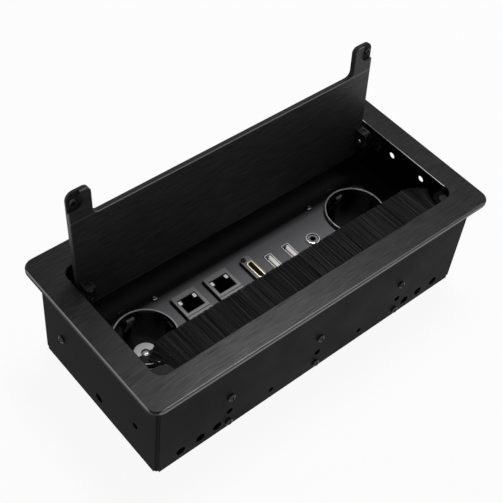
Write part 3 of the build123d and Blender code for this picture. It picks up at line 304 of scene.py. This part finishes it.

# Socket panel
# Bent sheet steel under the opening, coated in a dark satin grey that is paler than the trough.
# Painted shade darkens the coat towards the strip behind the lid and towards the right end.
panel_coat = coated(
    "panel coat", (0.122, 0.123, 0.13), (0.136, 0.137, 0.144), (0.48, 0.56), shine=0.08
)
# Painted shade: the coat fades to near black behind the lid and at the right end.
for low, high, fade_width in (
    ((-0.13, 0.0256, 0.02), (0.13, 0.06, 0.04), 0.006),
    ((0.109, -0.06, 0.02), (0.13, 0.06, 0.04), 0.005),
):
    painted_shade_end = inside_box(panel_coat, low, high, fade_width)
    overlay(panel_coat, painted_shade_end, (0.005, 0.005, 0.0052), 0.8)
finish(panel_coat, "socket_panel")
finish(black_screw, "left_retaining_ring", "right_retaining_ring")

# Power sockets
# Glossy black thermoplastic cups with a painted highlight round their rims, dull earth clips
# and brass pin sleeves. The far half of the left cup's raised middle carries a painted
# reflection, with a black ring round its screw.
socket_x = 0.0867
socket_y = 0.0045
rim_radius = 0.0204
middle_radius = 0.0074
screw_ring_radius = 0.0029
sharp_edge = 0.00005
# The black of the painted shade in ports, gaps, bores and brush ends, and of the ring round the
# left cup's screw.
deep_black = (0.002, 0.002, 0.002)
gloss_black = coated(
    "glossy socket plastic", (0.002, 0.002, 0.0022), (0.004, 0.004, 0.0044), (0.12, 0.2),
    peel=900.0, depth=0.00001,
)
# Painted highlight: a pale band along the top of each rim.
rim_highlight_band = inside_box(gloss_black, (-0.12, -0.02, 0.0366), (0.12, 0.03, 0.0375), sharp_edge)
for side in (-1, 1):
    rim = inside_disc(gloss_black, (side * socket_x, socket_y), rim_radius)
    overlay(gloss_black, both(gloss_black, rim_highlight_band, rim), (0.4, 0.4, 0.41))
left_centre = (-socket_x, socket_y)
# Painted reflection: the far half of the left cup's raised middle is laid pale.
far_half = inside_box(
    gloss_black, (-0.095, socket_y, 0.0193), (-0.079, 0.0125, 0.0202), sharp_edge
)
painted_reflection = both(gloss_black, far_half, inside_disc(gloss_black, left_centre, middle_radius))
overlay(gloss_black, painted_reflection, (0.55, 0.55, 0.56), 0.4)
screw_ring = inside_disc(gloss_black, left_centre, screw_ring_radius)
overlay(gloss_black, screw_ring, deep_black)
finish(gloss_black, "left_socket_insert", "right_socket_insert")
clip_steel = coated(
    "earth clip steel", (0.2, 0.2, 0.2), (0.35, 0.35, 0.35), (0.2, 0.3),
    metallic=0.8, peel=2000.0, depth=0.00001,
)
finish(clip_steel, "left_earth_clips", "right_earth_clips")
nickel_screw = coated(
    "nickel screw", (0.7, 0.7, 0.7), (0.85, 0.85, 0.85), (0.2, 0.3),
    metallic=0.6, peel=2000.0, depth=0.00001,
)
finish(nickel_screw, "left_centre_screw", "right_centre_screw")
pin_brass = coated(
    "pin brass", (0.5, 0.36, 0.12), (0.66, 0.5, 0.2), (0.25, 0.35),
    metallic=1.0, peel=2000.0, depth=0.00001,
)
finish(pin_brass, "left_pin_contacts", "right_pin_contacts")

# Network, video, data and audio ports
# Satin grey module frames, their port walls and left sides painted black as shade, and two
# white ledges and a line in each as painted highlights; gold and silver shells, white tongues
# and a chromed ring nut.
# The right corner support is painted a deeper black than the left one, as shade.
module_places = (-0.0494, -0.0242)
data_port_places = (0.0146, 0.0293)
audio_centre = (0.0477, 0.0035)
module_grey = coated(
    "module plastic", (0.12, 0.12, 0.124), (0.15, 0.15, 0.154), (0.38, 0.48), peel=1800.0
)
for x in module_places:
    # Painted shade: the left side of each frame is laid black.
    shaded_left_side = inside_box(module_grey, (x - 0.0093, -0.009, 0.03), (x - 0.0088, 0.019, 0.0367))
    overlay(module_grey, shaded_left_side, deep_black)
    # Painted shade: the walls inside each port are laid black.
    shaded_port_walls = inside_box(
        module_grey, (x - 0.007, 0.0027, 0.03), (x + 0.007, 0.0144, 0.0366), sharp_edge
    )
    overlay(module_grey, shaded_port_walls, deep_black)
    for side in (-1, 1):
        corner = x + side * 0.0055
        # Painted highlights: two white ledges in each port.
        ledge_highlight = inside_box(
            module_grey, (corner - 0.0011, 0.0109, 0.0356), (corner + 0.0011, 0.0137, 0.0362),
            sharp_edge,
        )
        overlay(module_grey, ledge_highlight, (0.8, 0.8, 0.8))
    # Painted highlight: a pale line down the right wall of each port.
    highlight_line = inside_box(
        module_grey, (x + 0.0067, 0.0037, 0.0357), (x + 0.007, 0.0107, 0.036), sharp_edge
    )
    overlay(module_grey, highlight_line, (0.6, 0.6, 0.6))
# Painted shade: the left side of the video plate is laid black.
shaded_plate_side = inside_box(module_grey, (-0.0049, -0.01, 0.03), (-0.0044, 0.02, 0.0365))
overlay(module_grey, shaded_plate_side, deep_black)
# Painted shade: a black disc over the bush's bore.
overlay(module_grey, inside_disc(module_grey, audio_centre, 0.0023), deep_black)
finish(
    module_grey, "left_network_frame", "right_network_frame", "audio_jack_bush",
    "video_port_plate",
)
matt_black = coated(
    "matt black plastic", (0.008, 0.008, 0.008), (0.012, 0.012, 0.012), (0.5, 0.62),
    peel=1800.0, shine=0.1,
)
finish(
    matt_black, "left_network_jack", "right_network_jack", "network_clamp", "data_port_block",
    "video_port_block", "video_port_tongue", "audio_jack_body", "left_back_housing",
    "right_back_housing", "hinge_spacers", "power_inlet", "left_hinge_knuckle",
    "right_hinge_knuckle", "left_hinge_bracket", "right_hinge_bracket", "left_corner_support",
    "brush_holder", "corner_magnets",
)
# Painted shade: the right corner support is laid a deeper black than the left one.
painted_shade_black = coated(
    "plastic in painted shade", (0.001, 0.001, 0.001), (0.002, 0.002, 0.002), (0.6, 0.7), shine=0.02
)
finish(painted_shade_black, "right_corner_support")
contact_gold = coated(
    "contact gold", (0.62, 0.45, 0.22), (0.8, 0.64, 0.38), (0.18, 0.28),
    metallic=1.0, peel=2000.0, depth=0.00001,
)
finish(contact_gold, "left_network_wires", "right_network_wires")
shell_gold = coated(
    "shell gold", (0.85, 0.74, 0.5), (0.95, 0.86, 0.64), (0.25, 0.35),
    metallic=0.5, peel=2000.0, depth=0.00001,
)
# Painted shade: the inside of the video port's shell is laid dark brown.
shaded_inner_shell = inside_box(shell_gold, (-0.0022, -0.002, 0.02), (0.0012, 0.0114, 0.0366), 0.0002)
overlay(shell_gold, shaded_inner_shell, (0.09, 0.05, 0.012), 0.3)
finish(shell_gold, "video_port_shell")
shell_silver = coated(
    "shell nickel", (0.85, 0.85, 0.86), (0.95, 0.95, 0.96), (0.2, 0.3),
    metallic=0.4, peel=2000.0, depth=0.00001,
)
# Painted shade: the inside of the ring nut is laid dark.
shaded_nut_bore = inside_disc(shell_silver, audio_centre, 0.004)
overlay(shell_silver, shaded_nut_bore, (0.02, 0.02, 0.02), 0.5, 0.0)
finish(shell_silver, "left_data_shell", "right_data_shell", "audio_jack_nut")
tongue_white = coated(
    "tongue plastic", (0.74, 0.71, 0.69), (0.84, 0.82, 0.81), (0.4, 0.5), peel=1800.0
)
for x in data_port_places:
    # Painted shade: one end of each tongue is laid black, as if a gap were there.
    painted_gap_shade = inside_box(tongue_white, (x - 0.003, 0.0092, 0.03), (x + 0.0006, 0.0115, 0.04), 0.0002)
    overlay(tongue_white, painted_gap_shade, deep_black, 0.7)
finish(tongue_white, "left_data_tongue", "right_data_tongue")

# Brush
# Black nylon bristles gripped in the channel under the front lip. The tips are a little
# uneven and lean sideways in loose tufts. Both ends splay outwards and are painted darker as
# shade.
brush_half = 0.1033
brush_root_y = -0.0475
brush_tip_y = -0.0220
brush_middle_z = 0.0724
brush_height = 0.0034
strand_radius = 0.00015
strand_count = 5000
strand_rings = 5
splay_zone = 0.008
splay_reach = 0.0075
splay_setback = 0.008
root_scatter = 0.00018
strand_lean = 0.00016
least_droop = 0.0003
added_droop = 0.0005
tip_unevenness = 0.0003


def bristle_surface(count, rings, seed):
    """Strands as 4-sided tubes: a centre line bent sideways by a slow wave across the brush,
    plus a square section of constant radius that is turned at random about each strand. The
    outermost strands splay outwards as the square of the way along them."""
    random = np.random.default_rng(seed)
    x = np.linspace(-brush_half, brush_half, count) + random.normal(0, root_scatter, count)
    x = np.clip(x, -brush_half, brush_half)
    z = brush_middle_z + (random.random(count) - 0.5) * brush_height
    tuft = 0.00005 * np.sin(x * 2100.0) + 0.00004 * np.sin(x * 3700.0 + 1.0)
    lean = tuft + random.normal(0, strand_lean, count)
    outer = np.clip(1 - (brush_half - np.abs(x)) / splay_zone, 0, 1)
    splay = np.sign(x) * splay_reach * outer ** 1.5
    droop = -least_droop - added_droop * random.random(count)
    tip = brush_tip_y - tip_unevenness * random.random(count) ** 2 - splay_setback * outer ** 2
    along = np.linspace(0, 1, rings)[None, :]
    centre = np.stack(
        [
            x[:, None] + lean[:, None] * along ** 1.6 + splay[:, None] * along ** 2,
            brush_root_y + (tip[:, None] - brush_root_y) * along,
            z[:, None] + droop[:, None] * along ** 2,
        ],
        axis=-1,
    )
    turn = random.random(count) * np.pi
    corner = turn[:, None] + np.arange(4)[None, :] * np.pi / 2
    section = np.stack([np.cos(corner), np.zeros_like(corner), np.sin(corner)], axis=-1)
    points = centre[:, :, None, :] + strand_radius * section[:, None, :, :]
    vertices = points.reshape(-1, 3)
    strand = np.arange(count)[:, None, None] * rings * 4
    ring = np.arange(rings - 1)[None, :, None] * 4
    side = np.arange(4)[None, None, :]
    following = (side + 1) % 4
    quads = np.stack(
        [strand + ring + side, strand + ring + following,
         strand + ring + 4 + following, strand + ring + 4 + side], axis=-1,
    ).reshape(-1, 4)
    first = np.arange(count)[:, None] * rings * 4
    root_caps = first + np.array([0, 3, 2, 1])[None, :]
    tip_caps = first + (rings - 1) * 4 + np.array([0, 1, 2, 3])[None, :]
    faces = np.concatenate([quads[:, ::-1], root_caps[:, ::-1], tip_caps[:, ::-1]])
    return vertices, faces


def new_piece(name, vertices, faces, material):
    """Put a worked-out surface into the scene."""
    mesh = bpy.data.meshes.new(name)
    mesh.from_pydata(vertices.tolist(), [], faces.tolist())
    mesh.materials.append(material)
    mesh.validate()
    piece = bpy.data.objects.new(name, mesh)
    bpy.context.scene.collection.objects.link(piece)
    return piece


def bristle_material():
    """Nylon: near black and satin, each strand a slightly different grey, both ends in painted
    shade.
    """
    material, shader = new_material("brush nylon")
    nodes = material.node_tree.nodes
    links = material.node_tree.links
    place = nodes.new("ShaderNodeTexCoord")
    stretch = nodes.new("ShaderNodeMapping")
    stretch.inputs["Scale"].default_value = (2400.0, 90.0, 400.0)
    noise = nodes.new("ShaderNodeTexNoise")
    noise.inputs["Scale"].default_value = 1.0
    noise.inputs["Detail"].default_value = 2.0
    links.new(place.outputs["Object"], stretch.inputs["Vector"])
    links.new(stretch.outputs["Vector"], noise.inputs["Vector"])
    link_colours(
        material, noise.outputs["Fac"], shader.inputs["Base Color"],
        (0.007, 0.007, 0.0071), (0.018, 0.018, 0.0185),
    )
    link_range(material, noise.outputs["Fac"], shader.inputs["Roughness"], 0.45, 0.6)
    shader.inputs["Specular IOR Level"].default_value = 0.12
    # Painted shade: both ends of the brush fade to black.
    for low_x, high_x in ((-0.13, -0.104), (0.0985, 0.13)):
        shaded_end = inside_box(material, (low_x, -0.05, 0.06), (high_x, -0.01, 0.08), 0.004)
        overlay(material, shaded_end, deep_black)
    return material


vertices, faces = bristle_surface(strand_count, strand_rings, 7)
bristles = new_piece("brush_strands", vertices, faces, bristle_material())
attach(bristles, "block")
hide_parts("brush_bristles")


# Bezel frame and lid
# Thick aluminium plate, brushed along its length and anodised black, with bright-cut chamfers
# that painted highlights make shine more, and painted shade on two faces. The lid's outer face
# is like the frame and its inner face is a paler, duller copy of the finish, laid lighter as
# painted light.
def brushing_group():
    """Brushing along X: two noises squeezed across the plate, a coarse and a fine one."""
    group = bpy.data.node_groups.new("brushing", "ShaderNodeTree")
    group.interface.new_socket("Streaks", in_out="OUTPUT", socket_type="NodeSocketFloat")
    group.interface.new_socket("Hairlines", in_out="OUTPUT", socket_type="NodeSocketFloat")
    outside = group.nodes.new("NodeGroupOutput")
    place = group.nodes.new("ShaderNodeTexCoord")
    for name, scale in (
        ("Streaks", (80.0, 3000.0, 3000.0)),
        ("Hairlines", (120.0, 5200.0, 5200.0)),
    ):
        squeeze = group.nodes.new("ShaderNodeMapping")
        squeeze.inputs["Scale"].default_value = scale
        noise = group.nodes.new("ShaderNodeTexNoise")
        noise.inputs["Scale"].default_value = 1.0
        noise.inputs["Detail"].default_value = 3.0
        group.links.new(place.outputs["Object"], squeeze.inputs["Vector"])
        group.links.new(squeeze.outputs["Vector"], noise.inputs["Vector"])
        group.links.new(noise.outputs["Fac"], outside.inputs[name])
    return group


brushing = brushing_group()


def brushed_anodised(name, dark, light, rough, metallic):
    """Black anodised metal with brushing in its colour, gloss and relief."""
    material, shader = new_material(name)
    shader.inputs["Specular IOR Level"].default_value = 0.2
    lines = material.node_tree.nodes.new("ShaderNodeGroup")
    lines.node_tree = brushing
    shader.inputs["Metallic"].default_value = metallic
    link_colours(material, lines.outputs["Streaks"], shader.inputs["Base Color"], dark, light)
    link_range(material, lines.outputs["Hairlines"], shader.inputs["Roughness"], rough[0], rough[1])
    link_bump(material, lines.outputs["Hairlines"], shader, 0.00003, 0.5)
    return material


frame_top = 0.0786
anodised_dark = (0.0035, 0.0036, 0.0036)
anodised_light = (0.0175, 0.0179, 0.0176)
frame_finish = brushed_anodised(
    "frame brushed anodised", anodised_dark, anodised_light, (0.28, 0.38), 0.8
)
# In turn: the front side face and the chamfers in front, left, right and behind, bright-cut
# and brightened further as painted highlights, the left side face and the right inner face of
# the opening, painted dark as shade, and the thin line along its edge, a painted highlight.
for low, high, colour, rough, metallic in (
    ((-0.134, -0.066, 0.0766), (0.134, -0.0632, 0.0778), 0.14, 0.35, 1.0),
    ((-0.134, -0.066, 0.0778), (0.134, -0.0632, 0.08), 0.065, 0.35, 1.0),
    ((-0.134, -0.066, 0.0779), (-0.1317, 0.066, 0.08), 0.16, 0.35, 1.0),
    ((0.1317, -0.066, 0.0779), (0.134, 0.066, 0.08), 0.12, 0.35, 1.0),
    ((-0.134, 0.0635, 0.0779), (0.134, 0.066, 0.08), 0.12, 0.35, 1.0),
    ((-0.134, -0.0642, 0.075), (-0.1322, 0.066, 0.0778), 0.002, 0.6, 0.0),
    ((0.115, -0.0466, 0.075), (0.1162, 0.0466, 0.0782), 0.002, 0.6, 0.0),
    ((0.1155, -0.0385, 0.0782), (0.1161, 0.0466, 0.08), 0.7, 0.35, 1.0),
):
    edge_highlight_and_shade = inside_box(frame_finish, low, high, sharp_edge)
    overlay(frame_finish, edge_highlight_and_shade, (colour, colour, colour), rough, metallic)
finish(frame_finish, "bezel_frame")

lid_angle = radians(3.95)
lid_face = Vector((0, 0.03345, frame_top))


def lid_axes(material):
    """The lid's own axes at rest: X along the hinge, Y out through its back, Z up its face."""
    turn = material.node_tree.nodes.new("ShaderNodeMapping")
    turn.inputs["Rotation"].default_value = (lid_angle, 0, 0)
    turn.inputs["Location"].default_value = -(Matrix.Rotation(lid_angle, 3, "X") @ lid_face)
    place = material.node_tree.nodes.new("ShaderNodeTexCoord")
    material.node_tree.links.new(place.outputs["Object"], turn.inputs["Vector"])
    return turn.outputs["Vector"]


# Painted light: the inner face is laid paler and more diffuse than the frame's finish.
lid_finish = brushed_anodised(
    "lid brushed anodised", (0.012, 0.012, 0.0121), (0.09, 0.09, 0.0902), (0.34, 0.44), 0.05
)
on_lid = lid_axes(lid_finish)
lid_nodes = lid_finish.node_tree.nodes
outer_face = inside_box(lid_finish, (-0.12, 0.0034, -0.03), (0.12, 0.005, 0.07), sharp_edge, on_lid)
overlay(lid_finish, outer_face, (0.011, 0.011, 0.011), 0.34, 0.8)
# The flat colour just laid over the outer face gives way to the frame's streaks.
outer_colour = lid_nodes["Principled BSDF"].inputs["Base Color"].links[0].from_node.inputs[7]
lid_lines = next(node for node in lid_nodes if node.type == "GROUP" and node.node_tree == brushing)
link_colours(
    lid_finish, lid_lines.outputs["Streaks"], outer_colour, anodised_dark, anodised_light
)
# In turn: the notch's long edge and its two ends, the tops of the horns, the thin lines along
# the notch and the horns, bright-cut and brightened as painted highlights, and the two round
# pockets, painted dark as shade.
for low, high, colour, rough, metallic in (
    ((-0.0985, 0.0006, 0.0455), (0.0985, 0.005, 0.0465), 0.003, 0.7, 0.0),
    ((-0.0985, 0.0006, 0.0461), (-0.088, 0.005, 0.068), 0.003, 0.7, 0.0),
    ((0.088, 0.0006, 0.0461), (0.0985, 0.005, 0.068), 0.003, 0.7, 0.0),
    ((-0.12, 0.0006, 0.0655), (0.12, 0.005, 0.068), 0.003, 0.7, 0.0),
    ((-0.12, -0.001, 0.0453), (0.12, 0.0005, 0.0466), 0.12, 0.4, 0.5),
    ((-0.12, -0.001, 0.066), (0.12, 0.0005, 0.068), 0.12, 0.4, 0.5),
    ((-0.115, 0.0012, 0.053), (-0.1055, 0.0022, 0.0655), 0.003, 0.7, 0.0),
    ((0.104, 0.0012, 0.053), (0.1135, 0.0022, 0.0655), 0.003, 0.7, 0.0),
):
    part = inside_box(lid_finish, low, high, sharp_edge, on_lid)
    overlay(lid_finish, part, (colour, colour, colour), rough, metallic)
finish(lid_finish, "lid_plate")

# Floor and light
# A white studio floor and two soft lamps above and behind the right half: one gives the
# shade and doesn't show in gloss, the other gives only the sheen.
floor_half = 4.0
floor_glow = 0.93
sky_strength = 0.08


def white_rays(nodes, links):
    """One for the rays that see the studio as white: from the camera, in gloss and in glass."""
    path = nodes.new("ShaderNodeLightPath")
    either = nodes.new("ShaderNodeMath")
    either.operation = "MAXIMUM"
    links.new(path.outputs["Is Camera Ray"], either.inputs[0])
    links.new(path.outputs["Is Glossy Ray"], either.inputs[1])
    seen = nodes.new("ShaderNodeMath")
    seen.operation = "MAXIMUM"
    links.new(either.outputs["Value"], seen.inputs[0])
    links.new(path.outputs["Is Transmission Ray"], seen.inputs[1])
    return seen.outputs["Value"]


def white_studio(strength):
    """White to the camera and to reflections, weaker as a light on the object."""
    world = bpy.data.worlds.new("studio")
    world.use_nodes = True
    nodes = world.node_tree.nodes
    links = world.node_tree.links
    sky = nodes["Background"]
    level = nodes.new("ShaderNodeMapRange")
    level.inputs["To Min"].default_value = strength
    level.inputs["To Max"].default_value = 1.0
    links.new(white_rays(nodes, links), level.inputs["Value"])
    sky.inputs["Color"].default_value = (1, 1, 1, 1)
    links.new(level.outputs["Result"], sky.inputs["Strength"])
    return world


def floor_material():
    """Matt white that is nearly all glow to the camera and in gloss, so that it stays white."""
    material, shader = new_material("studio floor")
    nodes = material.node_tree.nodes
    links = material.node_tree.links
    noise = nodes.new("ShaderNodeTexNoise")
    noise.inputs["Scale"].default_value = 60.0
    link_colours(
        material, noise.outputs["Fac"], shader.inputs["Base Color"],
        (0.82, 0.82, 0.82), (0.84, 0.84, 0.84),
    )
    shader.inputs["Roughness"].default_value = 0.9
    glow = nodes.new("ShaderNodeEmission")
    glow.inputs["Color"].default_value = (1, 1, 1, 1)
    share = nodes.new("ShaderNodeMath")
    share.operation = "MULTIPLY"
    share.inputs[1].default_value = floor_glow
    blend = nodes.new("ShaderNodeMixShader")
    links.new(white_rays(nodes, links), share.inputs[0])
    links.new(share.outputs[0], blend.inputs["Fac"])
    links.new(shader.outputs["BSDF"], blend.inputs[1])
    links.new(glow.outputs["Emission"], blend.inputs[2])
    links.new(blend.outputs["Shader"], nodes["Material Output"].inputs["Surface"])
    return material


def soft_lamp(name, place, target, width, height, power, in_gloss=True, in_shade=True):
    """A softbox, its width along X, that faces the object and shows in gloss, in shade or both."""
    lamp_data = bpy.data.lights.new(name, "AREA")
    lamp_data.shape = "RECTANGLE"
    lamp_data.size = width
    lamp_data.size_y = height
    lamp_data.energy = power
    lamp = bpy.data.objects.new(name, lamp_data)
    lamp.visible_glossy = in_gloss
    lamp.visible_diffuse = in_shade
    bpy.context.scene.collection.objects.link(lamp)
    lamp.location = place
    lamp.rotation_euler = (Vector(target) - Vector(place)).to_track_quat("-Z", "Y").to_euler()


bpy.context.scene.world = white_studio(sky_strength)
corners = floor_half * np.array([(-1, -1, 0), (1, -1, 0), (1, 1, 0), (-1, 1, 0)], float)
block_centre = (0.0, 0.0, 0.07)
floor = new_piece("floor", corners, np.array([(0, 1, 2, 3)]), floor_material())
soft_lamp("top strip lamp", (0.42, 0.3, 1.5), block_centre, 0.66, 0.26, 17.0, in_gloss=False)
soft_lamp("sheen lamp", (0.6, 0.36, 1.5), block_centre, 0.4, 0.3, 15.0, in_shade=False)
bpy.context.scene.view_settings.view_transform = "Standard"
